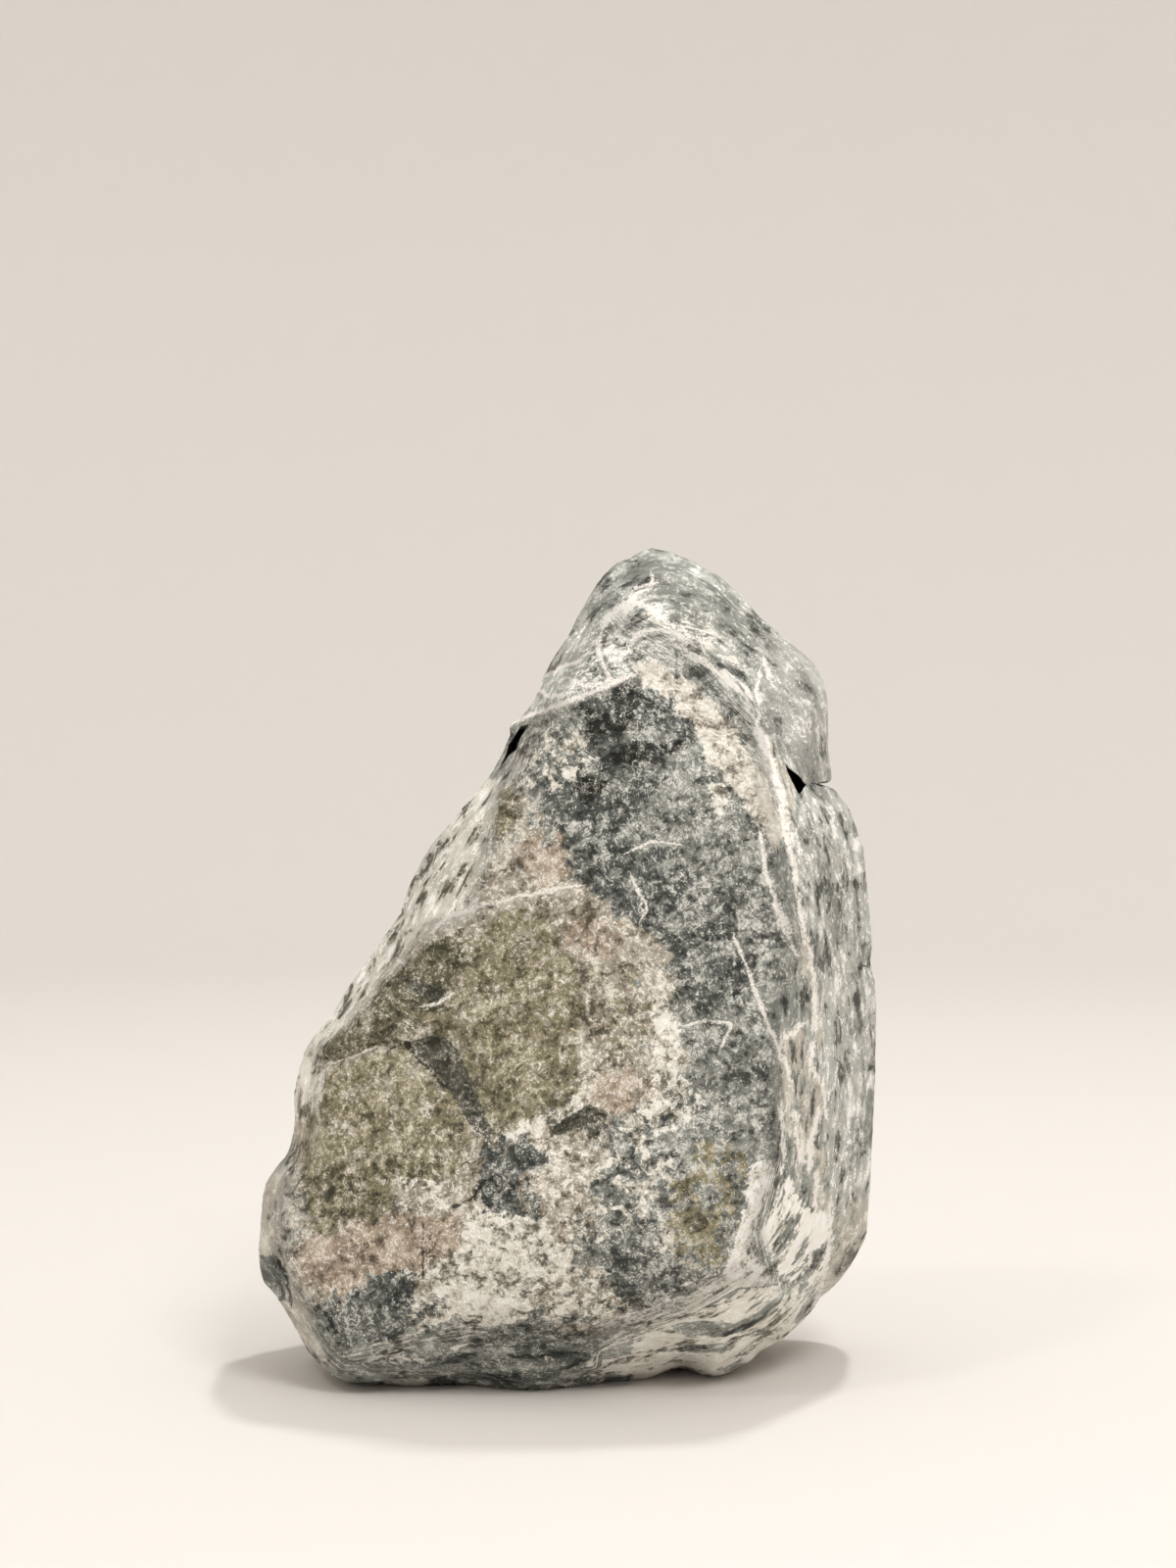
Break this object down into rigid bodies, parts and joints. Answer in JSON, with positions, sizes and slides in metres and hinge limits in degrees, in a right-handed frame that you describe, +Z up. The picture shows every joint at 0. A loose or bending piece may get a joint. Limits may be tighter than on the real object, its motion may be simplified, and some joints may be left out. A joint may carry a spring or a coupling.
{
  "type": "river stone",
  "caption": "Peaked, water-worn river stone with a ledged cap, clefts in both edges and a flat resting spot under its belly.",
  "frame": {"origin": "middle of the stone's bounding box, at the level of the floor it stands on", "axes": "+Z up to the peak, +X to the right and +Y away from a viewer who faces the broad front"},
  "size_m": [0.1934, 0.1501, 0.2572],
  "materials": {
    "stone": "dull, fibrous water-worn stone: dark slate grey with olive, pinkish-tan and white patches, white veins and pale streaked flanks"
  },
  "bodies": {
    "root": {"river_stone": "stone"}
  },
  "joints": []
}
